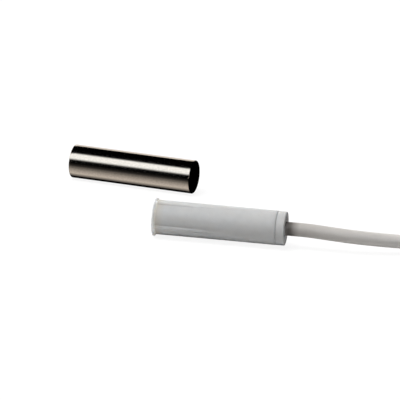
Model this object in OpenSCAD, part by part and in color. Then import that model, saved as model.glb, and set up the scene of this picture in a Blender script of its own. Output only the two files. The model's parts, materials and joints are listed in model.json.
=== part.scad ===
// Recessed magnetic contact: a flanged reed switch with its lead, and the rod magnet that works it.
// Both halves lie on the surface z = 0, each on its side. The switch points along X, its flange
// towards -X and its lead towards +X. The origin is below the middle of the two halves together.
// All sizes are in millimetres. Places marked "along the switch" are counted from its front face.

/* [Switch housing] */
// Diameter of the housing, which fills a drilled hole
body_d = 8; // [7.6:0.1:9]
// Length over the front face and the rear cap
body_len = 30.8; // [30:0.2:36]
// How far the front flange stands out from the housing
flange_rim = 0.4; // [0.4:0.05:1.5]
// Thickness of the front flange
flange_t = 0.5; // [0.4:0.05:1.2]
// Wall of the housing's tube
wall_t = 0.8; // [0.6:0.05:0.9]
// Wall behind the front face
front_t = 1; // [0.8:0.1:1.4]

/* [Crush ribs] */
// Number of ribs around the housing
rib_count = 4; // [2:1:6]
// Diameter of a rib's round back
rib_d = 1.45; // [1:0.05:1.5]
// Height of a rib at the flange
rib_h = 0.35; // [0.1:0.05:0.35]
// Distance of the ribs' ends from the front face
rib_end = 14.8; // [9:0.1:15]
// Turn of the first rib from the top towards the front
rib_turn = 22; // [0:1:89]

/* [Rear cap] */
// Length of the cap behind the housing
cap_len = 2; // [2:0.1:3]
// Diameter of the cap
cap_d = 7.9; // [7.2:0.1:7.9]
// Length of the cap's spigot inside the housing
spigot_len = 2.9; // [2:0.1:2.9]

/* [Reed] */
// Outer diameter of the glass tube
glass_d = 2.2; // [2:0.1:2.4]
// Inner diameter of the glass tube
glass_bore = 1.6; // [1.5:0.05:1.6]
// Width of a blade
blade_w = 1.1; // [0.8:0.1:1.1]
// Thickness of a blade
blade_t = 0.25; // [0.15:0.05:0.25]
// Gap between the two open blades
blade_gap = 0.15; // [0.14:0.01:0.2]

/* [Magnet] */
// Diameter of the rod magnet
magnet_d = 8; // [6:0.5:10]
// Length of the rod magnet
magnet_len = 30.5; // [20:0.5:36]
// Bevel round the magnet's ends
magnet_edge = 0.1; // [0.05:0.05:0.5]
// Direction in which the magnet points, turned from the switch's
magnet_yaw = -9.5; // [-12:0.5:0]
// Place of the magnet's middle along the switch
magnet_ahead = -12.7; // [-15:0.1:0]
// Place of the magnet's middle behind the switch
magnet_behind = 42.5; // [40:0.5:50]

/* [Lead] */
// Diameter of the lead's jacket
lead_d = 3.2; // [3:0.1:3.2]
// Diameter of one insulated core
core_d = 0.9; // [0.8:0.05:0.9]
// Diameter of a core's bare strands
strand_d = 0.4; // [0.3:0.05:0.4]
// Turns beside each other and above each other in the coil
coil_rows = 4; // [4:1:4]
// Radius of the coil at the middle of its turns
coil_mean_r = 18.7; // [18.5:0.1:19]

/* [Hidden] */
$fn = 96;

flange_d = body_d + 2 * flange_rim;
magnet_r = magnet_d / 2;

// Where the two halves lie, so that the origin comes below their middle
magnet_reach_x = magnet_len / 2 * cos(magnet_yaw) + (magnet_r - magnet_edge) * sin(-magnet_yaw);
magnet_reach_y = (magnet_len / 2 - magnet_edge) * sin(-magnet_yaw) + magnet_r * cos(magnet_yaw);
switch_x = -(magnet_ahead - magnet_reach_x + body_len) / 2;
switch_y = -(magnet_behind + magnet_reach_y - flange_d / 2) / 2;
axis_z = flange_d / 2;

// The housing's inside, and the places of the pieces along the switch
bore_d = body_d - 2 * wall_t;
// The ribbed stretch narrows a little towards the plain one behind it, as moulded tubes do
rear_d = body_d - 0.04;
housing_end = body_len - cap_len;
// The flange is rounded towards its front face, and its edge at the seat is broken
front_round = min(0.38, flange_t - 0.12);
seat_edge = 0.08;
// The flange's foot: a low cone behind its seat
foot_rise = 0.12;
foot_len = 0.4;
seam_bevel = 0.12;
glass_start = 5;
glass_len = 14;
seal_len = 2;
glass_end = glass_start + glass_len;
front_pivot = glass_start + seal_len;
rear_pivot = glass_end - seal_len;
blade_overlap = 1;
blade_len = (rear_pivot - front_pivot + blade_overlap) / 2;
root_gap = 0.03;
reed_z = 0.7;
reed_wire_d = 0.5;
potting_start = 16;
potting_end = 25;
jacket_start = 28;

// Cross places of the four cores, across and up from the switch's axis
near_y = -1;
tamper_z = -1.1;
return_z = -2.1;
core_pitch = 0.66;

// Joints between the cores and the reed
rear_lead_end = 20.7;
rear_core_end = 21.7;
front_bend_x = 2.6;
front_joint_z = -1.2;
splice_x = 20.6;
splice_len = 3;
splice_d = 1;

// The coil beside the view, and the bundle's half width
coil_ahead = 81;
coil_behind = 34;
coil_half = coil_rows * lead_d / 2;
coil_bevel = 1.2;
tie_angle = 150;
tie_w = 4;
tie_notch = 0.7;
tie_t = 0.55;
twist_d = 1.1;
twist_len = 9;
twist_out = 10;

// The lead's way to the coil: along the switch, behind its axis, and up from the surface
run_route = [
    [30.8, 0, 4.4],
    [36, 0, 4.4],
    [41, -0.05, 4.15],
    [46, 0.2, 3.82],
    [51, 1.35, 3.4],
    [56, 3, 2.94],
    [61, 4.8, 2.52],
    [67, 6.95, 2],
    [73, 8.7, 1.68],
    [79, 9.9, 1.6],
    [84, 10.65, 1.6]
];

// The free end's way round the coil: angle, distance from the coil's middle, and height
tail_route = [
    [-120, 24.2, 11.2],
    [-105, 25.2, 11],
    [-90, 26.2, 10.4],
    [-75, 26.8, 9.2],
    [-60, 27.1, 7.6],
    [-45, 27.2, 5.8],
    [-30, 27.2, 4.1],
    [-15, 27.2, 2.7],
    [0, 27.2, 1.9],
    [15, 27.2, 1.6],
    [30, 27.2, 1.6],
    [45, 27.2, 1.6]
];

// Each bared core's way on round the coil, ending where its strands show
core_fan = [
    [[45, 26.73, 1.13], [54, 26.5, 0.6], [66, 26.2, 0.47], [78, 26.1, 0.47], [88, 26.2, 0.47]],
    [[45, 27.67, 1.13], [54, 27.5, 0.6], [66, 27.4, 0.47], [78, 27.5, 0.47], [88, 27.9, 0.47]],
    [[45, 26.73, 2.07], [54, 27.4, 1.8], [66, 28.9, 0.9], [76, 29.9, 0.47], [86, 30.7, 0.47]],
    [[45, 27.67, 2.07], [54, 28.6, 1.5], [64, 30.1, 0.6], [73, 31.4, 0.47], [82, 32.8, 0.47]]
];
strand_turn = 9;
strand_drop = 0.2;

function polar(p) = [
    coil_ahead + p[1] * cos(p[0]),
    coil_behind + p[1] * sin(p[0]),
    p[2]
];
function in_row_frame(p) = [p[0] + switch_x, p[1] + switch_y, p[2]];
function on_axis(p) = in_row_frame([p[0], p[1], p[2] + axis_z]);
function unit(v) = v / norm(v);

// Points on an arc round a centre, from one angle to another
function arc(centre, r, from, to, steps = 4) = [
    for (i = [0:steps])
        let (a = from + (to - from) * i / steps)
        centre + r * [cos(a), sin(a)]
];

// The direction of a route at one of its points
function heading(points, i) =
    let (last = len(points) - 1)
    unit(points[min(i + 1, last)] - points[max(i - 1, 0)]);

// A ring of corners round a route's point, square to its direction
function ring(points, i, d, sides, level) =
    let (
        along = heading(points, i),
        across = unit(cross(along, level)),
        up = cross(across, along)
    )
    [
        for (k = [0:sides - 1])
            let (a = 360 * (k + 0.5) / sides)
            points[i] + d / 2 * (cos(a) * across + sin(a) * up)
    ];

// A tube swept along a route as one closed solid. The route never runs along the direction "level".
module swept(points, d, sides = 8, level = [0, 0, 1]) {
    rings = len(points);
    corners = [for (i = [0:rings - 1]) each ring(points, i, d, sides, level)];
    skin = [
        for (i = [0:rings - 2], k = [0:sides - 1])
            let (
                a = i * sides + k,
                b = i * sides + (k + 1) % sides
            )
            each [[a, b + sides, a + sides], [a, b, b + sides]]
    ];
    start = [for (k = [sides - 1:-1:0]) k];
    finish = [for (k = [0:sides - 1]) (rings - 1) * sides + k];
    polyhedron(points = corners, faces = concat(skin, [start, finish]), convexity = 4);
}

// Puts its children on the switch's axis, with X counted from the front face
module on_switch() {
    translate([switch_x, switch_y, axis_z]) children();
}

// A solid turned about the switch's axis from points of distance and place along it
module turned(profile) {
    rotate([0, 90, 0]) rotate_extrude() polygon(profile);
}

// A round bar along the switch from one place to another, at a cross place
module bar(from, to, d, y = 0, z = 0) {
    translate([from, y, z]) rotate([0, 90, 0]) cylinder(d = d, h = to - from);
}

// A round-backed rib that sinks into the body just before its end
module crush_rib() {
    sunk = 0.05;
    level_middle = (body_d - rib_d) / 2;
    swept([
        [flange_t / 2, 0, level_middle + rib_h],
        [rib_end, 0, level_middle - sunk]
    ], rib_d, sides = 16);
}

module housing() {
    flange_r = flange_d / 2;
    color([0.86, 0.86, 0.84])
        on_switch()
            difference() {
                union() {
                    turned(concat(
                        [[0, 0]],
                        arc([flange_r - front_round, front_round], front_round, -90, 0, 6),
                        arc([flange_r - seat_edge, flange_t - seat_edge], seat_edge, 0, 90),
                        [
                            [body_d / 2 + foot_rise, flange_t],
                            [body_d / 2, flange_t + foot_len],
                            [rear_d / 2, rib_end],
                            [rear_d / 2, housing_end - seam_bevel],
                            [rear_d / 2 - seam_bevel, housing_end],
                            [0, housing_end]
                        ]
                    ));
                    for (i = [0:rib_count - 1])
                        rotate([rib_turn + i * 360 / rib_count, 0, 0]) crush_rib();
                }
                bar(front_t, housing_end + 1, bore_d);
            }
}

module rear_cap() {
    fit_gap = 0.03;
    spigot_r = bore_d / 2 - fit_gap;
    spigot_bore = 4.8;
    hole_r = lead_d / 2 + fit_gap;
    back_round = 0.2;
    hole_bevel = 0.15;
    color([0.84, 0.84, 0.82])
        on_switch()
            turned(concat(
                [
                    [spigot_bore / 2, housing_end - spigot_len],
                    [spigot_r, housing_end - spigot_len],
                    [spigot_r, housing_end],
                    [cap_d / 2 - seam_bevel, housing_end],
                    [cap_d / 2, housing_end + seam_bevel]
                ],
                arc([cap_d / 2 - back_round, body_len - back_round], back_round, 0, 90),
                [
                    [hole_r + hole_bevel, body_len],
                    [hole_r, body_len - hole_bevel],
                    [hole_r, housing_end + 0.4],
                    [spigot_bore / 2, housing_end + 0.4]
                ]
            ));
}

module glass_body() {
    end_round = 0.5;
    glass_r = glass_d / 2;
    translate([0, 0, reed_z])
        turned(concat(
            [[0, glass_start]],
            arc([glass_r - end_round, glass_start + end_round], end_round, -90, 0),
            arc([glass_r - end_round, glass_end - end_round], end_round, 0, 90),
            [[0, glass_end]]
        ));
}

module reed_glass() {
    color([0.75, 0.85, 0.8, 0.5])
        on_switch()
            difference() {
                glass_body();
                bar(front_pivot, rear_pivot, glass_bore, 0, reed_z);
                bar(glass_start - 1, glass_end + 1, reed_wire_d, 0, reed_z);
            }
}

module front_lead() {
    color([0.75, 0.72, 0.6])
        swept([
            for (p = [
                [front_pivot, 0, reed_z],
                [front_bend_x + 0.7, 0, reed_z],
                [front_bend_x + 0.2, 0, reed_z - 0.2],
                [front_bend_x, 0, reed_z - 0.7],
                [front_bend_x, 0, front_joint_z]
            ]) on_axis(p)
        ], reed_wire_d, level = [0, 1, 0]);
}

module rear_lead() {
    color([0.75, 0.72, 0.6])
        on_switch() bar(rear_pivot, rear_lead_end, reed_wire_d, 0, reed_z);
}

// A flat blade along X from its root, with its tip's corners cut
module blade() {
    tip = 0.25;
    translate([0, -blade_t / 2, 0])
        rotate([90, 0, 0])
            mirror([0, 0, 1])
                linear_extrude(blade_t)
                    polygon([
                        [root_gap, -reed_wire_d / 2],
                        [root_gap + 0.8, -blade_w / 2],
                        [blade_len - tip, -blade_w / 2],
                        [blade_len, -blade_w / 2 + tip],
                        [blade_len, blade_w / 2 - tip],
                        [blade_len - tip, blade_w / 2],
                        [root_gap + 0.8, blade_w / 2],
                        [root_gap, reed_wire_d / 2]
                    ]);
}

module front_blade() {
    color([0.8, 0.78, 0.7])
        on_switch()
            translate([front_pivot, (blade_gap + blade_t) / 2, reed_z]) blade();
}

module rear_blade() {
    color([0.8, 0.78, 0.7])
        on_switch()
            translate([rear_pivot, -(blade_gap + blade_t) / 2, reed_z])
                mirror([1, 0, 0]) blade();
}

// A rounded bead about the Z axis, from one height to another
module bead(from, to, d) {
    r = d / 2;
    round_r = r / 2;
    rotate_extrude()
        polygon(concat(
            [[0, from]],
            arc([r - round_r, from + round_r], round_r, -90, 0),
            arc([r - round_r, to - round_r], round_r, 0, 90),
            [[0, to]]
        ));
}

module front_solder() {
    reach = 0.5;
    color([0.7, 0.7, 0.72])
        on_switch()
            translate([front_bend_x, 0, front_joint_z])
                difference() {
                    bead(-reach, reach, 0.9);
                    cylinder(d = reed_wire_d, h = 2 * reach);
                    translate([0, 0, -2 * reach]) cylinder(d = strand_d, h = 2 * reach);
                }
}

module rear_solder() {
    reach = 0.45;
    color([0.7, 0.7, 0.72])
        on_switch()
            difference() {
                translate([rear_lead_end, 0, reed_z])
                    rotate([0, 90, 0]) bead(-reach, reach, 0.9);
                bar(rear_pivot, rear_lead_end, reed_wire_d, 0, reed_z);
                bar(rear_lead_end, rear_core_end, strand_d, 0, reed_z);
            }
}

module sleeve_bar(d) {
    bar(rear_lead_end - 0.9, rear_core_end + 0.9, d, 0, reed_z);
}

module joint_sleeve() {
    sleeve_bore = 1;
    sleeve_d = 1.3;
    color([0.12, 0.12, 0.13])
        on_switch()
            difference() {
                sleeve_bar(sleeve_d);
                bar(rear_lead_end - 2, rear_core_end + 2, sleeve_bore, 0, reed_z);
            }
}

module splice_body() {
    translate([splice_x, 0, tamper_z])
        rotate([90, 0, 0]) bead(-splice_len / 2, splice_len / 2, splice_d);
}

module loop_splice() {
    color([0.7, 0.7, 0.72])
        on_switch()
            difference() {
                splice_body();
                for (y = [near_y, -near_y])
                    bar(splice_x, rear_core_end, strand_d, y, tamper_z);
            }
}

module wire_ends() {
    color([0.75, 0.45, 0.28]) {
        swept([
            for (p = [
                [front_bend_x + 0.8, 0, return_z],
                [front_bend_x + 0.3, 0, return_z],
                [front_bend_x, 0, return_z + 0.3],
                [front_bend_x, 0, front_joint_z]
            ]) on_axis(p)
        ], strand_d, level = [0, 1, 0]);
        on_switch() {
            bar(rear_lead_end, rear_core_end, strand_d, 0, reed_z);
            for (y = [near_y, -near_y])
                bar(splice_x, rear_core_end, strand_d, y, tamper_z);
        }
    }
}

// The end of a core's fan, from its cross place in the jacket to the one in the potting
function core_route(start, y, z, to) = [
    for (p = [
        [jacket_start, start[0], start[1]],
        [jacket_start - 0.2, start[0], start[1]],
        [potting_end + 0.2, y, z],
        [potting_end, y, z],
        [to, y, z]
    ]) on_axis(p)
];

module contact_core_front() {
    color([0.93, 0.93, 0.9])
        swept(core_route([0, -core_pitch], 0, return_z, front_bend_x + 0.8), core_d);
}

module contact_core_rear() {
    color([0.45, 0.28, 0.16])
        swept(core_route([0, core_pitch], 0, reed_z, rear_core_end), core_d);
}

module tamper_core_near() {
    color([0.2, 0.5, 0.25])
        swept(core_route([-core_pitch, 0], near_y, tamper_z, rear_core_end), core_d);
}

module tamper_core_far() {
    color([0.9, 0.8, 0.2])
        swept(core_route([core_pitch, 0], -near_y, tamper_z, rear_core_end), core_d);
}

module potting() {
    fit_gap = 0.03;
    color([0.2, 0.2, 0.22])
        on_switch()
            difference() {
                bar(potting_start, potting_end, bore_d - 2 * fit_gap);
                glass_body();
                bar(glass_end - 0.1, rear_lead_end, reed_wire_d, 0, reed_z);
                sleeve_bar(1.3);
                splice_body();
                bar(rear_core_end, potting_end + 1, core_d, 0, reed_z);
                bar(potting_start - 1, potting_end + 1, core_d, 0, return_z);
                for (y = [near_y, -near_y]) {
                    bar(rear_core_end, potting_end + 1, core_d, y, tamper_z);
                    bar(splice_x, rear_core_end + 0.1, strand_d, y, tamper_z);
                }
            }
}

module jacket_end() {
    color([0.82, 0.8, 0.77])
        on_switch() bar(jacket_start, body_len, lead_d);
}

module magnet() {
    half = magnet_len / 2;
    color([0.6, 0.58, 0.54])
        translate([switch_x + magnet_ahead, switch_y + magnet_behind, magnet_r])
            rotate([0, 0, magnet_yaw])
                turned([
                    [0, -half],
                    [magnet_r - magnet_edge, -half],
                    [magnet_r, -half + magnet_edge],
                    [magnet_r, half - magnet_edge],
                    [magnet_r - magnet_edge, half],
                    [0, half]
                ]);
}

// The lead up to the coil
module cord_run() {
    color([0.82, 0.8, 0.77])
        swept([for (p = run_route) in_row_frame(p)], lead_d);
}

// Puts its children in the middle of the coil, on the surface
module on_coil() {
    translate([coil_ahead + switch_x, coil_behind + switch_y, 0]) children();
}

// Puts its children in the middle of the bundle where the tie holds it, with X pointing outwards
module at_tie() {
    on_coil() rotate([0, 0, tie_angle]) translate([coil_mean_r, 0, coil_half]) children();
}

module cord_coil() {
    low = coil_mean_r - coil_half;
    high = coil_mean_r + coil_half;
    waist = 2 * (coil_half - tie_notch);
    color([0.82, 0.8, 0.77])
        difference() {
            on_coil()
                rotate_extrude()
                    polygon([
                        [low + coil_bevel, 0],
                        [high - coil_bevel, 0],
                        [high, coil_bevel],
                        [high, 2 * coil_half - coil_bevel],
                        [high - coil_bevel, 2 * coil_half],
                        [low + coil_bevel, 2 * coil_half],
                        [low, 2 * coil_half - coil_bevel],
                        [low, coil_bevel]
                    ]);
            at_tie()
                difference() {
                    cube([3 * coil_half, tie_w + 0.6, 3 * coil_half], center = true);
                    cube([waist, tie_w + 2, waist], center = true);
                }
        }
}

module cord_tie() {
    gap = 0.05;
    inner = 2 * (coil_half - tie_notch + gap);
    outer = inner + 2 * tie_t;
    color([0.2, 0.2, 0.2])
        at_tie() {
            difference() {
                cube([outer, tie_w, outer], center = true);
                cube([inner, tie_w + 1, inner], center = true);
            }
            translate([outer / 2 + twist_d / 2 - 0.15, 0, 2])
                rotate([0, 0, -twist_out])
                    rotate([-90, 0, 0]) cylinder(d = twist_d, h = twist_len);
        }
}

// The lead's free end beside the coil
module cord_tail() {
    color([0.82, 0.8, 0.77])
        swept([for (p = tail_route) in_row_frame(polar(p))], lead_d);
}

module end_core(i, rgb) {
    color(rgb)
        swept([for (p = core_fan[i]) in_row_frame(polar(p))], core_d);
}

module end_strands() {
    color([0.75, 0.73, 0.7])
        for (fan = core_fan) {
            last = fan[len(fan) - 1];
            step = last - fan[len(fan) - 2];
            swept([
                for (p = [
                    last,
                    last + [strand_turn / 2, step[1] / 2, -strand_drop / 2],
                    last + [strand_turn, step[1], -strand_drop]
                ]) in_row_frame(polar(p))
            ], strand_d);
        }
}

housing();
rear_cap();
potting();
reed_glass();
front_lead();
rear_lead();
front_blade();
rear_blade();
front_solder();
rear_solder();
joint_sleeve();
loop_splice();
wire_ends();
contact_core_front();
contact_core_rear();
tamper_core_near();
tamper_core_far();
jacket_end();
magnet();
cord_run();
cord_coil();
cord_tie();
cord_tail();
end_core(0, [0.92, 0.92, 0.9]);  // end_core_white
end_core(1, [0.4, 0.25, 0.15]);  // end_core_brown
end_core(2, [0.15, 0.45, 0.22]);  // end_core_green
end_core(3, [0.9, 0.78, 0.15]);  // end_core_yellow
end_strands();
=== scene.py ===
"""The looks of a recessed magnetic contact: its switch half with the lead, and its rod magnet."""

import json
import math

import bmesh
import bpy
import numpy as np
from mathutils import Matrix, Vector


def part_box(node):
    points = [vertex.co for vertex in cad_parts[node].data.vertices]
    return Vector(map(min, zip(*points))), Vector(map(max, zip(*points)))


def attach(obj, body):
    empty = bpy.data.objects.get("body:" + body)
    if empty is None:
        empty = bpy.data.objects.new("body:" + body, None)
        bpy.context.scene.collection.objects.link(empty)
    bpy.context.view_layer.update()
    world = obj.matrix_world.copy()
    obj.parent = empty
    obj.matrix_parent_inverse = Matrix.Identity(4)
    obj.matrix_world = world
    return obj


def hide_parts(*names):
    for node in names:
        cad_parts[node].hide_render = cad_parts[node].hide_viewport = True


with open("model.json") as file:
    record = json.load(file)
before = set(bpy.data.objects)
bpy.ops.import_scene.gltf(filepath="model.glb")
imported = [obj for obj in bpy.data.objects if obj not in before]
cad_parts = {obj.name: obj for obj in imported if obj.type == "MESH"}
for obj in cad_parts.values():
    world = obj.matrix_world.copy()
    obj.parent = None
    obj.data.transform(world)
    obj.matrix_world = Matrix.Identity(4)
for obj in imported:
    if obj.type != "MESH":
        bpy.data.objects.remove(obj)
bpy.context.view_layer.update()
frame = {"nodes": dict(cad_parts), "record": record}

# All lengths are in metres, apart from those that a comment gives in millimetres
MM = 0.001
IMAGE_PX = 400

# Places that the frame gives
mounts = {mount["name"]: mount for mount in frame["record"]["mounts"]}
housing_lo, housing_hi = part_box("housing")
cap_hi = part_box("rear_cap")[1]
coil_lo, coil_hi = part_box("cord_coil")
SWITCH_POS = Vector(mounts["switch_body"]["pos_m"])
FRONT = Vector((housing_lo.x, SWITCH_POS.y, SWITCH_POS.z))
MAGNET_POS = Vector(mounts["magnet_body"]["pos_m"])
MAGNET_AXIS = -Vector(mounts["magnet_body"]["axis"])
MAGNET_YAW = math.atan2(MAGNET_AXIS.y, MAGNET_AXIS.x)
MAGNET_PLACE = Matrix.Translation(MAGNET_POS) @ Matrix.Rotation(MAGNET_YAW, 4, "Z")
COIL_POS = Vector(((coil_lo.x + coil_hi.x) / 2, (coil_lo.y + coil_hi.y) / 2, 0))

# Sizes of the switch half
FLANGE_R = SWITCH_POS.z
RIM_EDGE = 0.05 * MM
RIM_T = 0.36 * MM
FOOT_END = 0.9 * MM
FOOT_CURVE = 2.2
BODY_R = 4.0 * MM
REAR_R = mounts["switch_body"]["dims"]["r_mm"] * MM
HOUSING_LEN = housing_hi.x - housing_lo.x
BODY_LEN = cap_hi.x - housing_lo.x
FRONT_WALL = 1.0 * MM
BORE_R = 3.2 * MM
SEAM_ROUND = 0.08 * MM
SEAM_SLIT = 0.07 * MM
SEAM_DEPTH = 0.2 * MM
CAP_R = 3.95 * MM
CAP_ROUND = 0.22 * MM
SPIGOT_LEN = 2.9 * MM
SPIGOT_R = 3.17 * MM
SPIGOT_BORE_R = 2.4 * MM

# The crush ribs: round backs that sink into the body at their ends
RIB_COUNT = 4
RIB_BACK_R = 0.55 * MM
RIB_H = 0.35 * MM
RIB_START = 0.2 * MM
RIB_END = 14.8 * MM
RIB_SUNK = 0.01 * MM
RIB_BLEND = 0.03 * MM
RIB_TURN = math.radians(22)

# Sizes of the magnet
MAGNET_R = mounts["magnet_body"]["dims"]["r_mm"] * MM
MAGNET_EDGE = 0.1 * MM
MAGNET_HALF = mounts["magnet_body"]["dims"]["length_mm"] * MM / 2 + MAGNET_EDGE

# The lead, and the coil that it ends in
LEAD_R = 1.6 * MM
JACKET_WALL = 0.5 * MM
JACKET_HOLLOW = 1.0 * MM
CORE_R = 0.45 * MM
CORE_WALL = 0.16 * MM
CORE_HOLLOW = 0.3 * MM
STRAND_R = 0.2 * MM
COIL_ROWS = 4
COIL_HALF = coil_hi.z / 2
COIL_MEAN_R = (coil_hi.x - coil_lo.x) / 2 - COIL_HALF
TIE_ANGLE = math.radians(150)
TIE_NOTCH = 0.7 * MM
TIE_W = 4.0 * MM
TIE_T = 0.55 * MM

# The lead's way to the coil, in millimetres: along the switch, behind its axis, and up
RUN_ROUTE = [
    (28, 0, 4.4),
    (30.8, 0, 4.4),
    (36, 0, 4.4),
    (41, -0.05, 4.15),
    (46, 0.2, 3.82),
    (51, 1.35, 3.4),
    (56, 3, 2.94),
    (61, 4.8, 2.52),
    (67, 6.95, 2),
    (73, 8.7, 1.68),
    (79, 9.9, 1.6),
    (84, 10.65, 1.6),
]

# The free end's way round the coil: degrees, then millimetres from the coil's middle and up
TAIL_ROUTE = [
    (-120, 24.2, 11.2),
    (-105, 25.2, 11),
    (-90, 26.2, 10.4),
    (-75, 26.8, 9.2),
    (-60, 27.1, 7.6),
    (-45, 27.2, 5.8),
    (-30, 27.2, 4.1),
    (-15, 27.2, 2.7),
    (0, 27.2, 1.9),
    (15, 27.2, 1.6),
    (30, 27.2, 1.6),
    (45, 27.2, 1.6),
]

# The bared cores' ways on from the jacket's end, given like the free end's
CORE_FAN = {
    "white": [(45, 26.73, 1.13), (54, 26.5, 0.6), (66, 26.2, 0.47), (78, 26.1, 0.47), (88, 26.2, 0.47)],
    "brown": [(45, 27.67, 1.13), (54, 27.5, 0.6), (66, 27.4, 0.47), (78, 27.5, 0.47), (88, 27.9, 0.47)],
    "green": [(45, 26.73, 2.07), (54, 27.4, 1.8), (66, 28.9, 0.9), (76, 29.9, 0.47), (86, 30.7, 0.47)],
    "yellow": [(45, 27.67, 2.07), (54, 28.6, 1.5), (64, 30.1, 0.6), (73, 31.4, 0.47), (82, 32.8, 0.47)],
}
STRAND_TURN = 9
STRAND_DROP = 0.2

# The camera stands where the photograph's did: a long lens, a little to the right and above
VIEW_AZIMUTH = math.radians(9.147)
VIEW_ELEVATION = math.radians(15)
VIEW_ROLL = math.radians(2.811)
VIEW_DISTANCE = 1.3
VIEW_FOCAL_PX = 5634.47
VIEW_TARGET = FRONT + Vector((10.425, 0, 4.94)) * MM

# The lamps: name, place in metres, size in metres, watts
LAMPS = (
    ("main_lamp", (-0.6, -0.384, 1.848), 1.0, 27.0),
    ("back_lamp", (-0.6, 1.0, 1.56), 1.2, 12.3),
    ("low_lamp", (-1.2, -0.7, 1.1), 1.2, 3.7),
)

# The white surroundings: what they give the object, and what the camera and reflections see
WORLD_LIGHT = 0.05
WORLD_SHOWN = 1.0
FLOOR_LIGHT_ALBEDO = 0.7
FLOOR_SHOWN_ALBEDO = 0.17
FLOOR_SHOWN_GLOW = 0.89

# The cards that the magnet mirrors
CARD_R = 0.5
CARD_REACH = 0.7
CARD_STEP = 3
CARD_SINK = 0.01 * MM

# The tunnel's glow, by degrees round the magnet's axis from the front
CARD_TUNNEL = [(-2, 0), (20.5, 0), (32.5, 1.9), (62, 1.9), (71, 0), (145, 0)]

# The painted floor's glow, by millimetres before the magnet's axis: dark under the magnet as a painted
# contact shadow, then a painted lit stretch that fades away; only reflections show it
CARD_PAINTED_FLOOR = [
    (-30, 0),
    (2.2, 0),
    (2.8, 0.28),
    (3.8, 0.8),
    (6.1, 0.5),
    (8.7, 0.25),
    (14, 0.065),
    (19, 0.025),
    (40, 0.008),
    (500, 0),
]

# The colours, and the tints that are laid over them
WHITE = (1, 1, 1)
CARD_BLUE = (0.8, 0.9, 1.0)
WHITE_PLASTIC = (0.72, 0.72, 0.715)
# Painted light on the flange: its front, rim and foot lighter and warmer than the white plastic, as
# though light shone through them
FACE_LIGHT_TINT = (1.2, 1.18, 1.15)
RIM_LIGHT_TINT = (1.34, 1.32, 1.28)
FOOT_LIGHT_TINT = (1.33, 1.28, 1.19)
# Painted shade: a darker, browner band behind the flange's foot, where the flange's shade falls
FOOT_SHADE_TINT = (0.98, 0.93, 0.86)
MAGNET_METAL = (0.65, 0.555, 0.46)
JACKET = (0.88, 0.845, 0.81)
# Painted shadow of the cap on the lead where it enters the cap, and painted shade that fades out along
# the lead away from the cap
ENTRY_SHADOW_TINT = (0.4, 0.38, 0.37)
ENTRY_SHADOW_DEEP = (0.22, 0.205, 0.195)
ENTRY_SHADOW_EDGE = (0.43, 0.415, 0.405)
CAP_SHADE_TINT = (0.68, 0.67, 0.66)
GLASS = (0.8, 0.93, 0.87)
REED_METAL = (0.62, 0.6, 0.55)
SOLDER = (0.62, 0.62, 0.64)
COPPER = (0.72, 0.38, 0.22)
TIN = (0.66, 0.65, 0.62)
TIE_BLACK = (0.04, 0.04, 0.042)
RESIN_BLACK = (0.05, 0.05, 0.055)
SLEEVE_BLACK = (0.03, 0.03, 0.032)
CORE_COLOURS = {
    "white": (0.85, 0.85, 0.83),
    "brown": (0.16, 0.07, 0.03),
    "green": (0.03, 0.2, 0.06),
    "yellow": (0.75, 0.55, 0.04),
}

# The cores inside the housing, by the colours that they have outside
INNER_CORES = {
    "white": "contact_core_front",
    "brown": "contact_core_rear",
    "green": "tamper_core_near",
    "yellow": "tamper_core_far",
}

# How far light enters the white plastic, with each colour's share
SCATTER_DEPTH = 1.4 * MM
SCATTER_SHARES = (0.9, 0.85, 0.8)

# The middle range of a noise's values
NOISE_LOW = 0.3
NOISE_HIGH = 0.7


def along_switch(point):
    """A route's point, from millimetres along the switch, behind its axis and up."""
    return np.array([FRONT.x + point[0] * MM, FRONT.y + point[1] * MM, point[2] * MM])


def round_coil(point):
    """A point round the coil, from degrees, millimetres from its middle, and millimetres up."""
    angle = math.radians(point[0])
    return np.array([
        COIL_POS.x + point[1] * MM * math.cos(angle),
        COIL_POS.y + point[1] * MM * math.sin(angle),
        point[2] * MM,
    ])


def smoothstep(share):
    """A share from 0 to 1, eased at both ends."""
    share = min(max(share, 0.0), 1.0)
    return share * share * (3 - 2 * share)


def smooth_path(points, step):
    """Points about a step apart on one smooth curve through the given ones."""
    points = np.array(points, float)
    padded = np.vstack([2 * points[0] - points[1], points, 2 * points[-1] - points[-2]])
    out = []
    for a, b, c, d in zip(padded, padded[1:], padded[2:], padded[3:]):
        count = max(1, round(float(np.linalg.norm(c - b)) / step))
        for t in np.arange(count) / count:
            out.append(0.5 * (
                2 * b + (c - a) * t + (2 * a - 5 * b + 4 * c - d) * t ** 2
                + (3 * b - a - 3 * c + d) * t ** 3
            ))
    out.append(points[-1])
    return np.array(out)


def frames_along(path):
    """The direction and two cross directions at each point of a path, with no twist between them."""
    ahead = np.gradient(path, axis=0)
    ahead /= np.linalg.norm(ahead, axis=1)[:, None]
    start = np.cross(ahead[0], [0, 0, 1.0])
    if np.linalg.norm(start) < 0.1:
        start = np.cross(ahead[0], [0, 1.0, 0])
    side = start / np.linalg.norm(start)
    sides = []
    for direction in ahead:
        side = side - direction * (side @ direction)
        side /= np.linalg.norm(side)
        sides.append(side)
    sides = np.array(sides)
    return ahead, sides, np.cross(sides, ahead)


def make_object(name, vertices, faces, sharp_degrees=40):
    """A mesh object, smooth but for its sharp edges, with its faces turned outwards."""
    mesh = bpy.data.meshes.new(name)
    mesh.from_pydata([tuple(v) for v in vertices], [], faces)
    work = bmesh.new()
    work.from_mesh(mesh)
    bmesh.ops.recalc_face_normals(work, faces=work.faces)
    work.to_mesh(mesh)
    work.free()
    mesh.shade_smooth()
    mesh.set_sharp_from_angle(angle=math.radians(sharp_degrees))
    obj = bpy.data.objects.new(name, mesh)
    bpy.context.scene.collection.objects.link(obj)
    return obj


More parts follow.
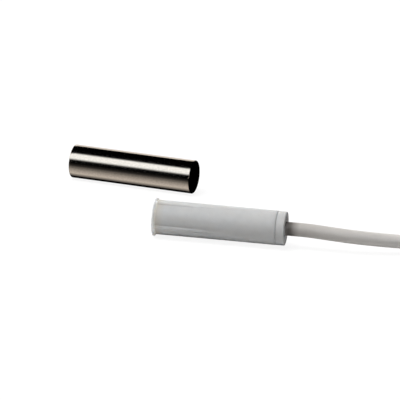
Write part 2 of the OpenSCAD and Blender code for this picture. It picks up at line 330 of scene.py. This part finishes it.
def bridge(faces, first, second):
    """Adds the faces between two rings of vertex numbers. A ring of one vertex is a pole."""
    count = max(len(first), len(second))
    for i in range(count):
        j = (i + 1) % count
        if len(first) == 1:
            faces.append((first[0], second[j], second[i]))
        elif len(second) == 1:
            faces.append((first[i], first[j], second[0]))
        else:
            faces.append((first[i], first[j], second[j], second[i]))


def tube(name, path, radii, sides=24, hollow=None):
    """A round tube along a path. Hollow is the wall and the depth of a recess in its far end."""
    ahead, across, up = frames_along(path)
    radii = np.broadcast_to(radii, len(path))
    angles = 2 * math.pi * np.arange(sides) / sides
    turn = np.outer(np.cos(angles), [1, 0]) + np.outer(np.sin(angles), [0, 1])
    vertices = []
    rings = []

    def add_ring(centre, radius, i):
        """Adds a ring square to the path at its point i."""
        rings.append(list(range(len(vertices), len(vertices) + sides)))
        vertices.extend(centre + radius * (turn[:, :1] * across[i] + turn[:, 1:] * up[i]))

    def add_pole(centre):
        """Adds the point that closes an end."""
        rings.append([len(vertices)])
        vertices.append(centre)

    add_pole(path[0])
    for i, centre in enumerate(path):
        add_ring(centre, radii[i], i)
    last = len(path) - 1
    if hollow:
        wall, depth = hollow
        add_ring(path[last], radii[last] - wall, last)
        add_ring(path[last] - ahead[last] * depth, radii[last] - wall, last)
        add_pole(path[last] - ahead[last] * depth)
    else:
        add_pole(path[last])
    faces = []
    for first, second in zip(rings, rings[1:]):
        bridge(faces, first, second)
    return make_object(name, vertices, faces)


def arc(centre_x, centre_r, radius, start, stop, steps=8):
    """Profile points on an arc, as places along the axis and distances from it."""
    points = []
    for i in range(steps + 1):
        angle = math.radians(start + (stop - start) * i / steps)
        points.append((centre_x + radius * math.cos(angle), centre_r + radius * math.sin(angle)))
    return points


def spread(start, stop, steps):
    """Profile points on a straight line between two others, without its ends."""
    return [
        (start[0] + (stop[0] - start[0]) * i / steps, start[1] + (stop[1] - start[1]) * i / steps)
        for i in range(1, steps)
    ]


def turned(name, profile, place, segments, closed=False, swell=None):
    """A skin turned about the X axis from a profile. Swell may raise a point's radius."""
    angles = 2 * math.pi * np.arange(segments) / segments
    vertices = []
    rings = []
    for x, r in profile:
        if r == 0:
            rings.append([len(vertices)])
            vertices.append((x, 0, 0))
            continue
        rings.append(list(range(len(vertices), len(vertices) + segments)))
        for angle in angles:
            radius = swell(x, r, angle) if swell else r
            vertices.append((x, -radius * math.sin(angle), radius * math.cos(angle)))
    faces = []
    for first, second in zip(rings, rings[1:]):
        bridge(faces, first, second)
    if closed:
        bridge(faces, rings[-1], rings[0])
    obj = make_object(name, vertices, faces)
    obj.data.transform(place)
    return obj


def smooth_max(a, b, blend):
    """The larger of two values, rounded off where they are nearly equal."""
    near = max(blend - abs(a - b), 0.0)
    return max(a, b) + near * near / (4 * blend)


def rib_swell(x, r, angle):
    """The radius of the ribbed stretch: a rib's round back where it stands proud of the body."""
    if not RIM_T <= x <= RIB_END or r < REAR_R:
        return r
    pitch = 2 * math.pi / RIB_COUNT
    off = (angle - RIB_TURN + pitch / 2) % pitch - pitch / 2
    fall = (RIB_H + RIB_SUNK) * ((x - RIB_START) / (RIB_END - RIB_START)) ** 2
    middle = BODY_R + RIB_H - RIB_BACK_R - fall
    reach = middle * math.sin(off)
    if abs(reach) >= RIB_BACK_R:
        return r
    back = middle * math.cos(off) + math.sqrt(RIB_BACK_R ** 2 - reach ** 2)
    return smooth_max(r, back, RIB_BLEND)


def make_housing():
    """The moulded housing: the flange's rim and hollow foot, the body, and the bore inside."""
    foot_rings = 13
    end = HOUSING_LEN
    profile = [(0, 0), *spread((0, 0), (0, FLANGE_R - RIM_EDGE), steps=4)]
    profile += arc(RIM_EDGE, FLANGE_R - RIM_EDGE, RIM_EDGE, 180, 90)
    for share in np.linspace(0, 1, foot_rings):
        x = RIM_T + (FOOT_END - RIM_T) * share
        profile.append((x, BODY_R + (FLANGE_R - BODY_R) * (1 - share) ** FOOT_CURVE))
    profile += spread((FOOT_END, BODY_R), (RIB_END, REAR_R), steps=56)
    profile += [(RIB_END, REAR_R), *spread((RIB_END, REAR_R), (end - SEAM_ROUND, REAR_R), steps=8)]
    profile += arc(end - SEAM_ROUND, REAR_R - SEAM_ROUND, SEAM_ROUND, 90, 0, steps=5)
    profile += [(end, BORE_R), *spread((end, BORE_R), (FRONT_WALL, BORE_R), steps=6)]
    profile += [(FRONT_WALL, BORE_R), (FRONT_WALL, BORE_R / 2), (FRONT_WALL, 0)]
    place = Matrix.Translation(FRONT)
    housing = turned("housing_shell", profile, place, segments=480, swell=rib_swell)
    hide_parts("housing")
    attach(housing, "switch")
    return housing


def make_rear_cap():
    """The cap with its spigot, its rounded back edge and the bevelled hole for the lead."""
    start = HOUSING_LEN
    play = 0.03 * MM
    hole_r = LEAD_R + play
    hole_bevel = 0.15 * MM
    front_wall = 0.4 * MM
    profile = [(start - SPIGOT_LEN, SPIGOT_BORE_R), (start - SPIGOT_LEN, SPIGOT_R), (start, SPIGOT_R)]
    profile += [(start, CAP_R - SEAM_DEPTH), (start + SEAM_SLIT, CAP_R - SEAM_DEPTH)]
    profile += arc(start + SEAM_SLIT + SEAM_ROUND, CAP_R - SEAM_ROUND, SEAM_ROUND, 180, 90, steps=5)
    profile += arc(BODY_LEN - CAP_ROUND, CAP_R - CAP_ROUND, CAP_ROUND, 90, 0, steps=10)
    profile += arc(BODY_LEN - hole_bevel, hole_r + hole_bevel, hole_bevel, 0, -90, steps=5)
    profile += [(start + front_wall, hole_r), (start + front_wall, SPIGOT_BORE_R)]
    cap = turned("rear_cap_shell", profile, Matrix.Translation(FRONT), segments=160, closed=True)
    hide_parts("rear_cap")
    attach(cap, "switch")
    return cap


def make_magnet():
    """The magnet's rod, with softly broken edges round its two ground faces."""
    soft = 0.03 * MM
    lean = soft * 0.3
    face_r = MAGNET_R - MAGNET_EDGE
    end = [(0, 0), *spread((0, 0), (0, face_r - soft), steps=10)]
    end += [(0, face_r - soft), (lean, face_r), (MAGNET_EDGE, MAGNET_R - lean)]
    end += [(MAGNET_EDGE + soft, MAGNET_R)]
    left = [(-MAGNET_HALF + x, r) for x, r in end]
    right = [(MAGNET_HALF - x, r) for x, r in reversed(end)]
    profile = left + spread(left[-1], right[0], steps=30) + right
    magnet = turned("magnet_rod", profile, MAGNET_PLACE, segments=256)
    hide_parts("magnet")
    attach(magnet, "magnet")
    return magnet


def coil_cells():
    """The places of the turns in the bundle, in the order in which they are wound."""
    cells = []
    for row in range(COIL_ROWS):
        inwards = row % 2 == 0
        columns = range(COIL_ROWS - 1, -1, -1) if inwards else range(COIL_ROWS)
        cells += [(column, row) for column in columns]
    return cells


def coil_points(start_angle, degrees_a_point=10):
    """The lead's points round the coil: each turn lies in its cell and moves on in its last sixth."""
    cells = coil_cells()
    points_a_turn = 360 // degrees_a_point
    shift_from = 5 / 6
    bulge = 1.2 * MM
    wander = 0.06 * MM
    wanders_a_turn = 3
    wander_shift = 1.7
    first_r = COIL_MEAN_R - COIL_HALF + LEAD_R
    points = []
    for turn, (column, row) in enumerate(cells):
        last = turn == len(cells) - 1
        next_column, next_row = cells[turn] if last else cells[turn + 1]
        for i in range(points_a_turn):
            share = i / points_a_turn
            if last and share > shift_from:
                break
            move = max(share - shift_from, 0) / (1 - shift_from)
            blend = smoothstep(move)
            r = first_r + 2 * LEAD_R * (column + (next_column - column) * blend)
            z = LEAD_R + 2 * LEAD_R * (row + (next_row - row) * blend)
            if next_row != row:
                r += math.sin(math.pi * move) * bulge * (1 if column else -1)
            angle = start_angle + 2 * math.pi * share
            r += wander * math.sin(wanders_a_turn * angle + wander_shift * turn)
            points.append(squeezed(angle, r, z))
    return points


def squeezed(angle, r, z):
    """A point of the coil, drawn towards the bundle's middle where the tie holds it."""
    off = abs((angle - TIE_ANGLE + math.pi) % (2 * math.pi) - math.pi)
    full, gone = math.radians(7), math.radians(22)
    share = 1 - smoothstep((off - full) / (gone - full))
    keep = 1 - share * TIE_NOTCH / COIL_HALF
    r = COIL_MEAN_R + (r - COIL_MEAN_R) * keep
    z = COIL_HALF + (z - COIL_HALF) * keep
    return np.array([COIL_POS.x + r * math.cos(angle), COIL_POS.y + r * math.sin(angle), z])


def make_lead():
    """The lead on one smooth line: out of the cap, down to the surface, round the coil, to its end."""
    run = [along_switch(p) for p in RUN_ROUTE]
    off = run[-1] - np.array(COIL_POS)
    turns = coil_points(math.atan2(off[1], off[0]))
    tail = [round_coil(p) for p in TAIL_ROUTE]
    path = smooth_path(run + turns[1:] + tail, step=1.6 * MM)
    lead = tube("lead", path, LEAD_R, sides=28, hollow=(JACKET_WALL, JACKET_HOLLOW))
    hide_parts("jacket_end", "cord_run", "cord_coil", "cord_tail")
    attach(lead, "switch")
    return lead, path


def make_cores():
    """The four bared cores that fan out of the jacket's end, and their twisted tinned strands."""
    cores = []
    strands = []
    hidden_degrees = 2
    for colour, fan in CORE_FAN.items():
        degrees, out, up = fan[0]
        route = [round_coil(p) for p in [(degrees - hidden_degrees, out, up), *fan]]
        path = smooth_path(route, step=0.5 * MM)
        core = tube(f"core_{colour}", path, CORE_R, sides=20, hollow=(CORE_WALL, CORE_HOLLOW))
        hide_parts(f"end_core_{colour}")
        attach(core, "switch")
        cores.append(core)
        strands.append(make_strand_bundle(colour, fan))
    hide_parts("end_strands")
    return cores, strands


def make_strand_bundle(colour, fan):
    """Seven fine wires, six of them twisted round the middle one, that stick out of a core."""
    degrees, out, up = fan[-1]
    outwards = out - fan[-2][1]
    route = [
        round_coil((degrees - 1, out, up)),
        round_coil((degrees, out, up)),
        round_coil((degrees + STRAND_TURN / 2, out + outwards / 2, up - STRAND_DROP / 2)),
        round_coil((degrees + STRAND_TURN, out + outwards, up - STRAND_DROP)),
    ]
    path = smooth_path(route, step=0.12 * MM)
    across, above = frames_along(path)[1:]
    run = np.concatenate([[0], np.cumsum(np.linalg.norm(np.diff(path, axis=0), axis=1))])
    wire_r = STRAND_R / 3
    lay = 2.4 * MM
    outer_count = 6
    wires = [tube("wire", path, wire_r, sides=8)]
    for k in range(outer_count):
        angle = 2 * math.pi * (run / lay + k / outer_count)
        around = np.cos(angle)[:, None] * across + np.sin(angle)[:, None] * above
        wires.append(tube("wire", path + 2 * wire_r * around, wire_r, sides=8))
    bundle = joined(f"strands_{colour}", wires)
    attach(bundle, "switch")
    return bundle


def joined(name, parts):
    """One object of several, which may be separate skins."""
    with bpy.context.temp_override(active_object=parts[0], selected_editable_objects=parts):
        bpy.ops.object.join()
    parts[0].name = name
    parts[0].data.name = name
    return parts[0]


def tie_loop(half, corner, steps=8):
    """Points round the tie's square loop, and the way outwards at each."""
    points = []
    for quarter in range(4):
        sign_x = 1 if quarter in (0, 3) else -1
        sign_z = 1 if quarter in (0, 1) else -1
        centre = np.array([sign_x, sign_z]) * (half - corner)
        for i in range(steps + 1):
            angle = math.pi / 2 * (quarter + i / steps)
            out = np.array([math.cos(angle), math.sin(angle)])
            points.append((centre + corner * out, out))
    return points


def tie_section(steps):
    """Points round the tie's ribbon, thicker where its wire lies: across it, and outwards."""
    wing = 0.16 * MM
    ridge_w = 0.45 * MM
    bluntness = 0.5
    section = []
    for i in range(steps):
        angle = 2 * math.pi * i / steps
        across = TIE_W / 2 * math.cos(angle)
        thick = wing + (TIE_T / 2 - wing) * math.exp(-((across / ridge_w) ** 2))
        side = math.sin(angle)
        section.append((across, thick * math.copysign(abs(side) ** bluntness, side)))
    return section


def make_tie():
    """A coated wire tie round the bundle: a flat ribbon over a wire, with its ends twisted."""
    place = (
        Matrix.Translation(COIL_POS + Vector((0, 0, COIL_HALF)))
        @ Matrix.Rotation(TIE_ANGLE, 4, "Z")
        @ Matrix.Translation((COIL_MEAN_R, 0, 0))
    )
    play = 0.05 * MM
    half = COIL_HALF - TIE_NOTCH + play
    corner = 2.1 * MM
    steps = 24
    section = tie_section(steps)
    vertices = []
    rings = []
    for centre, out in tie_loop(half + TIE_T / 2, corner):
        rings.append(list(range(len(vertices), len(vertices) + steps)))
        for across, lift in section:
            spot = centre + out * lift
            vertices.append((spot[0], across, spot[1]))
    faces = []
    for first, second in zip(rings, rings[1:] + rings[:1]):
        bridge(faces, first, second)
    band = make_object("tie_band", vertices, faces)
    twist = make_twist(half + TIE_T)
    tie = joined("wire_tie", [band, *twist])
    tie.data.transform(place)
    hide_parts("cord_tie")
    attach(tie, "switch")
    return tie


def make_twist(face_x):
    """The two ends of the tie, wound round each other away from the band."""
    length = 9 * MM
    lay = 2.6 * MM
    wire_r = 0.32 * MM
    out = math.radians(10)
    ahead = np.array([math.sin(out), math.cos(out), 0])
    across = np.array([math.cos(out), -math.sin(out), 0])
    up = np.array([0, 0, 1.0])
    root = np.array([face_x + 0.4 * MM, 0, 2 * MM])
    open_from = 0.85
    opening = 1.2
    steps = 90
    wires = []
    for k in range(2):
        path = []
        for run in np.linspace(0, length, steps):
            angle = 2 * math.pi * run / lay + math.pi * k
            share = (run / length - open_from) / (1 - open_from)
            reach = wire_r * (1 + opening * smoothstep(share))
            path.append(root + ahead * run + reach * (math.cos(angle) * across + math.sin(angle) * up))
        wires.append(tube("twist", np.array(path), wire_r, sides=12))
    return wires


def add_node(tree, kind, inputs=None, **settings):
    """A new shader node with its settings and its inputs' values."""
    node = tree.nodes.new(kind)
    for name, value in settings.items():
        setattr(node, name, value)
    for name, value in (inputs or {}).items():
        node.inputs[name].default_value = value
    return node


def main_shader(tree):
    """The shader that a new material starts with."""
    return next(node for node in tree.nodes if node.type == "BSDF_PRINCIPLED")


def new_material(name):
    """A new material, its node tree, its main shader and the place on the object."""
    material = bpy.data.materials.new(name)
    material.use_nodes = True
    tree = material.node_tree
    place = add_node(tree, "ShaderNodeTexCoord").outputs["Object"]
    return material, tree, main_shader(tree), place


def bare_material(name):
    """A new material and its node tree, with no nodes in it."""
    material = bpy.data.materials.new(name)
    material.use_nodes = True
    material.node_tree.nodes.clear()
    return material, material.node_tree


def noise(tree, place, size, detail=3.0, roughness=0.55):
    """A noise whose patches have the given size in metres."""
    node = add_node(tree, "ShaderNodeTexNoise", {
        "Scale": 1 / size,
        "Detail": detail,
        "Roughness": roughness,
    })
    tree.links.new(place, node.inputs["Vector"])
    return node.outputs["Fac"]


def spread_between(tree, value, low, high):
    """Maps a noise's middle range onto the range from low to high."""
    node = add_node(tree, "ShaderNodeMapRange", {
        "From Min": NOISE_LOW,
        "From Max": NOISE_HIGH,
        "To Min": low,
        "To Max": high,
    })
    tree.links.new(value, node.inputs["Value"])
    return node.outputs["Result"]


def colour_ramp(tree, value, stops):
    """The colour that a value gives: stops are values with their colours."""
    node = add_node(tree, "ShaderNodeValToRGB")
    elements = node.color_ramp.elements
    while len(elements) < len(stops):
        elements.new(1)
    for element, (at, colour) in zip(elements, stops):
        element.position = at
        element.color = (*colour, 1)
    tree.links.new(value, node.inputs["Fac"])
    return node.outputs["Color"]


def colour_between(tree, value, first, second):
    """Mixes two colours by a noise."""
    return colour_ramp(tree, value, [(NOISE_LOW, first), (NOISE_HIGH, second)])


def add_bump(tree, shader, layers):
    """Raises the surface by noises, each given with its height in metres."""
    normal = None
    for value, height in layers:
        bump = add_node(tree, "ShaderNodeBump", {"Strength": 1.0, "Distance": height})
        tree.links.new(value, bump.inputs["Height"])
        if normal is not None:
            tree.links.new(normal, bump.inputs["Normal"])
        normal = bump.outputs["Normal"]
    tree.links.new(normal, shader.inputs["Normal"])


def plastic(name, colour, gloss=(0.42, 0.52), mottle=0.03, grain=0.12 * MM, depth=0.0012 * MM):
    """Moulded plastic: a faint mottle in its colour, and a fine grain in its gloss and surface."""
    patch = 1.6 * MM
    material, tree, shader, place = new_material(name)
    broad = noise(tree, place, patch)
    fine = noise(tree, place, grain)
    darker = [c * (1 - mottle) for c in colour]
    lighter = [min(c * (1 + mottle), 1) for c in colour]
    tree.links.new(colour_between(tree, broad, darker, lighter), shader.inputs["Base Color"])
    tree.links.new(spread_between(tree, fine, *gloss), shader.inputs["Roughness"])
    add_bump(tree, shader, [(broad, depth * 2), (fine, depth)])
    return material


def metal(name, colour, gloss=(0.16, 0.28), grain=0.1 * MM, depth=0.0008 * MM, tint=0.05, cloud=1.2 * MM):
    """Bare metal: a fine grain in its gloss and surface, and faint clouds in its colour."""
    material, tree, shader, place = new_material(name)
    shader.inputs["Metallic"].default_value = 1.0
    broad = noise(tree, place, cloud)
    fine = noise(tree, place, grain, detail=4.0, roughness=0.6)
    darker = [c * (1 - tint) for c in colour]
    tree.links.new(colour_between(tree, broad, darker, colour), shader.inputs["Base Color"])
    tree.links.new(spread_between(tree, fine, *gloss), shader.inputs["Roughness"])
    add_bump(tree, shader, [(fine, depth)])
    return material


def clear_glass(name, colour):
    """Clear glass with a faint wave in its drawn surface."""
    gloss = (0.02, 0.05)
    depth = 0.004 * MM
    wave_size = 2.5 * MM
    material, tree, shader, place = new_material(name)
    shader.inputs["Transmission Weight"].default_value = 1.0
    shader.inputs["IOR"].default_value = 1.5
    wave = noise(tree, place, wave_size, detail=1.0)
    tree.links.new(colour_between(tree, wave, colour, WHITE), shader.inputs["Base Color"])
    tree.links.new(spread_between(tree, wave, *gloss), shader.inputs["Roughness"])
    add_bump(tree, shader, [(wave, depth)])
    return material


def tint_along(material, start, reach, stops):
    """Tints a material along X: stops are shares of the reach from the start, with their tints."""
    # The places of the mix node's sockets for colours
    colour_a, colour_b, colour_out = 6, 7, 2
    tree = material.node_tree
    base = main_shader(tree).inputs["Base Color"]
    plain = base.links[0].from_socket
    place = next(node for node in tree.nodes if node.type == "TEX_COORD").outputs["Object"]
    split = add_node(tree, "ShaderNodeSeparateXYZ")
    along = add_node(tree, "ShaderNodeMapRange", {"From Min": start, "From Max": start + reach})
    both = add_node(tree, "ShaderNodeMix", {"Factor": 1.0}, data_type="RGBA", blend_type="MULTIPLY")
    tree.links.new(place, split.inputs["Vector"])
    tree.links.new(split.outputs["X"], along.inputs["Value"])
    tree.links.new(plain, both.inputs[colour_a])
    tree.links.new(colour_ramp(tree, along.outputs["Result"], stops), both.inputs[colour_b])
    tree.links.new(both.outputs[colour_out], base)


def housing_plastic():
    """White plastic with painted light, lighter and ivory at the flange, and a faint browner line of
    painted shade behind the flange's foot.
    """
    material = plastic("housing_plastic", WHITE_PLASTIC)
    reach = 2.6 * MM
    rim_back = 0.35 * MM
    foot_low = 0.74 * MM
    # Painted light on the flange's front, rim and foot, and painted shade in the band behind the foot
    tint_along(material, FRONT.x, reach, [
        (0, FACE_LIGHT_TINT),
        (RIM_EDGE / reach, RIM_LIGHT_TINT),
        (rim_back / reach, RIM_LIGHT_TINT),
        (foot_low / reach, FOOT_LIGHT_TINT),
        (FOOT_END / reach, FOOT_SHADE_TINT),
        (1, WHITE),
    ])
    return let_light_in(material)


def let_light_in(material):
    """Lets light a little way into a white plastic, which softens its edges and creases."""
    shader = main_shader(material.node_tree)
    shader.inputs["Subsurface Weight"].default_value = 1.0
    shader.inputs["Subsurface Radius"].default_value = SCATTER_SHARES
    shader.inputs["Subsurface Scale"].default_value = SCATTER_DEPTH
    return material


def lead_jacket():
    """The jacket's soft plastic, with painted shade that darkens it towards the cap and a painted shadow
    of the cap where it enters it.
    """
    material = plastic("lead_jacket", JACKET, mottle=0.02, grain=0.3 * MM)
    reach = 28 * MM
    dark_from = 0.8 * MM
    dark_to = 1.3 * MM
    pale_from = 2.1 * MM
    cap_shade_from = 3.3 * MM
    # Painted shadow of the cap at the lead's entry, then painted shade fading out along the lead
    tint_along(material, FRONT.x + BODY_LEN, reach, [
        (0, ENTRY_SHADOW_TINT),
        (dark_from / reach, ENTRY_SHADOW_DEEP),
        (dark_to / reach, ENTRY_SHADOW_DEEP),
        (pale_from / reach, ENTRY_SHADOW_EDGE),
        (cap_shade_from / reach, CAP_SHADE_TINT),
        (1, WHITE),
    ])
    return material


def dress(objects, material):
    """Gives the objects one material, in place of any that they have."""
    for obj in objects:
        obj.data.materials.clear()
        obj.data.materials.append(material)


def make_materials(housing, cap, magnet, lead, cores, strands, tie):
    """Gives every piece, and every node that stays, its own finish."""
    nodes = frame["nodes"]
    dress([housing], housing_plastic())
    dress([cap], let_light_in(plastic("cap_plastic", WHITE_PLASTIC)))
    dress([magnet], metal("magnet_alloy", MAGNET_METAL, gloss=(0.1, 0.17), tint=0.16, cloud=0.35 * MM))
    dress([lead], lead_jacket())
    for core, (colour, rgb) in zip(cores, CORE_COLOURS.items()):
        finish = plastic(f"{colour}_core", rgb, gloss=(0.28, 0.36), grain=0.2 * MM, depth=0.0006 * MM)
        dress([core, nodes[INNER_CORES[colour]]], finish)
    dress(strands, metal("tinned_strands", TIN, grain=0.05 * MM))
    dress([tie], plastic("tie_plastic", TIE_BLACK, gloss=(0.3, 0.4), mottle=0.1))
    dress([nodes["potting"]], plastic("potting_resin", RESIN_BLACK, gloss=(0.1, 0.2), mottle=0.15))
    dress([nodes["reed_glass"]], clear_glass("reed_glass", GLASS))
    alloy = metal("reed_alloy", REED_METAL)
    dress([nodes[name] for name in ("front_lead", "rear_lead", "front_blade", "rear_blade")], alloy)
    solder = metal("solder", SOLDER, gloss=(0.2, 0.4), grain=0.2 * MM, depth=0.004 * MM)
    dress([nodes[name] for name in ("front_solder", "rear_solder", "loop_splice")], solder)
    dress([nodes["joint_sleeve"]], plastic("sleeve_plastic", SLEEVE_BLACK, mottle=0.1))
    dress([nodes["wire_ends"]], metal("copper", COPPER, grain=0.06 * MM))


def make_camera():
    """The camera at the photograph's viewing angle."""
    back = Vector((
        math.sin(VIEW_AZIMUTH) * math.cos(VIEW_ELEVATION),
        -math.cos(VIEW_AZIMUTH) * math.cos(VIEW_ELEVATION),
        math.sin(VIEW_ELEVATION),
    ))
    level = Vector((math.cos(VIEW_AZIMUTH), math.sin(VIEW_AZIMUTH), 0))
    above = back.cross(level)
    right = level * math.cos(VIEW_ROLL) + above * math.sin(VIEW_ROLL)
    up = above * math.cos(VIEW_ROLL) - level * math.sin(VIEW_ROLL)
    turn = Matrix((right, up, back)).transposed().to_4x4()
    camera = bpy.data.objects.new("camera", bpy.data.cameras.new("camera"))
    camera.matrix_world = Matrix.Translation(VIEW_TARGET + back * VIEW_DISTANCE) @ turn
    camera.data.lens = VIEW_FOCAL_PX / IMAGE_PX * camera.data.sensor_width
    bpy.context.scene.collection.objects.link(camera)
    bpy.context.scene.camera = camera


def seen_directly(tree):
    """1 for rays that show the background: the camera's, and those off metal or through glass."""
    rays = add_node(tree, "ShaderNodeLightPath")
    value = rays.outputs["Is Camera Ray"]
    for name in ("Is Glossy Ray", "Is Transmission Ray"):
        either = add_node(tree, "ShaderNodeMath", operation="MAXIMUM")
        tree.links.new(value, either.inputs[0])
        tree.links.new(rays.outputs[name], either.inputs[1])
        value = either.outputs["Value"]
    return value


def make_world():
    """A white background, with only a faint light from it on the object."""
    world = bpy.data.worlds.new("studio")
    bpy.context.scene.world = world
    world.use_nodes = True
    tree = world.node_tree
    tree.nodes.clear()
    ambient = add_node(tree, "ShaderNodeBackground", {"Color": (*WHITE, 1), "Strength": WORLD_LIGHT})
    shown = add_node(tree, "ShaderNodeBackground", {"Color": (*WHITE, 1), "Strength": WORLD_SHOWN})
    mix = add_node(tree, "ShaderNodeMixShader")
    out = add_node(tree, "ShaderNodeOutputWorld")
    tree.links.new(seen_directly(tree), mix.inputs["Fac"])
    tree.links.new(ambient.outputs["Background"], mix.inputs[1])
    tree.links.new(shown.outputs["Background"], mix.inputs[2])
    tree.links.new(mix.outputs["Shader"], out.inputs["Surface"])


def make_floor():
    """A pale floor that shows white and keeps a soft shadow."""
    reach = 6.0
    drop = 0.02 * MM
    corners = [(x * reach, y * reach, -drop) for x, y in ((-1, -1), (1, -1), (1, 1), (-1, 1))]
    floor = make_object("floor", corners, [(0, 1, 2, 3)])
    material, tree = bare_material("floor")
    albedo = add_node(tree, "ShaderNodeMapRange", {
        "To Min": FLOOR_LIGHT_ALBEDO,
        "To Max": FLOOR_SHOWN_ALBEDO,
    })
    paint = add_node(tree, "ShaderNodeBsdfDiffuse")
    glow = add_node(tree, "ShaderNodeEmission", {"Color": (*WHITE, 1)})
    shown = add_node(tree, "ShaderNodeMath", {1: FLOOR_SHOWN_GLOW}, operation="MULTIPLY")
    both = add_node(tree, "ShaderNodeAddShader")
    out = add_node(tree, "ShaderNodeOutputMaterial")
    seen = seen_directly(tree)
    tree.links.new(seen, albedo.inputs["Value"])
    tree.links.new(albedo.outputs["Result"], paint.inputs["Color"])
    tree.links.new(seen, shown.inputs[0])
    tree.links.new(shown.outputs["Value"], glow.inputs["Strength"])
    tree.links.new(paint.outputs["BSDF"], both.inputs[0])
    tree.links.new(glow.outputs["Emission"], both.inputs[1])
    tree.links.new(both.outputs["Shader"], out.inputs["Surface"])
    dress([floor], material)


def make_lamps():
    """Three soft lamps on the left: the main one above, one further back and one low down."""
    for name, place, size, watts in LAMPS:
        lamp = bpy.data.lights.new(name, "AREA")
        lamp.shape = "SQUARE"
        lamp.size = size
        lamp.energy = watts
        obj = bpy.data.objects.new(name, lamp)
        obj.location = place
        obj.rotation_mode = "QUATERNION"
        obj.rotation_quaternion = obj.location.to_track_quat("Z", "Y")
        obj.visible_glossy = False
        bpy.context.scene.collection.objects.link(obj)


def make_cards():
    """The studio that the magnet mirrors: a tunnel with one light strip and a dark end, over a card on
    the floor that paints the floor's reflection with a painted contact shadow and a painted lit stretch.
    """
    tunnel = []
    for degrees in range(CARD_TUNNEL[0][0], CARD_TUNNEL[-1][0] + 1, CARD_STEP):
        angle = math.radians(degrees)
        glow = np.interp(degrees, *zip(*CARD_TUNNEL))
        tunnel.append((CARD_R * math.cos(angle), CARD_R * math.sin(angle), glow))
    make_long_card("tunnel_card", tunnel, CARD_BLUE)
    level = -MAGNET_R - CARD_SINK
    # A card on the floor whose glow paints the floor's lit stretch and contact shadow in the magnet's
    # reflections
    painted_floor_glows = [(before * MM, level, glow) for before, glow in CARD_PAINTED_FLOOR]
    make_long_card("painted_floor_card", painted_floor_glows, WHITE, stop=MAGNET_HALF)
    corner = [(CARD_R, level, 0), (-CARD_R, level, 0), tunnel[-1]]
    make_long_card("corner_card", corner, WHITE, start=MAGNET_HALF)
    sides = ((-CARD_R, level), (CARD_R, level), (CARD_R, CARD_R), (-CARD_R, CARD_R))
    end = [(CARD_REACH, y, z) for y, z in sides]
    make_card("end_card", end, [(0, 1, 2, 3)], [0] * len(end), WHITE)


def make_long_card(name, section, colour, start=-CARD_REACH, stop=CARD_REACH):
    """A card along the magnet, from places before and above its axis with their glow."""
    vertices = []
    glows = []
    for before, up, glow in section:
        vertices += [(start, -before, up), (stop, -before, up)]
        glows += [glow, glow]
    faces = [(2 * i, 2 * i + 1, 2 * i + 3, 2 * i + 2) for i in range(len(section) - 1)]
    make_card(name, vertices, faces, glows, colour)


def make_card(name, vertices, faces, glows, colour):
    """A glowing or dark card that only reflections show, placed from the magnet's axis."""
    card = make_object(name, vertices, faces)
    card.data.transform(MAGNET_PLACE)
    levels = card.data.attributes.new("glow", "FLOAT", "POINT")
    levels.data.foreach_set("value", glows)
    material, tree = bare_material(name)
    level = add_node(tree, "ShaderNodeAttribute", attribute_name="glow")
    glow = add_node(tree, "ShaderNodeEmission", {"Color": (*colour, 1)})
    out = add_node(tree, "ShaderNodeOutputMaterial")
    tree.links.new(level.outputs["Fac"], glow.inputs["Strength"])
    tree.links.new(glow.outputs["Emission"], out.inputs["Surface"])
    dress([card], material)
    card.visible_camera = False
    card.visible_diffuse = False
    card.visible_transmission = False
    card.visible_shadow = False


def main():
    """Makes the camera, the object and the studio."""
    make_camera()
    lead, path = make_lead()
    cores, strands = make_cores()
    tie = make_tie()
    housing = make_housing()
    cap = make_rear_cap()
    magnet = make_magnet()
    make_materials(housing, cap, magnet, lead, cores, strands, tie)
    make_world()
    make_floor()
    make_lamps()
    make_cards()
    bpy.context.scene.view_settings.view_transform = "Standard"


main()
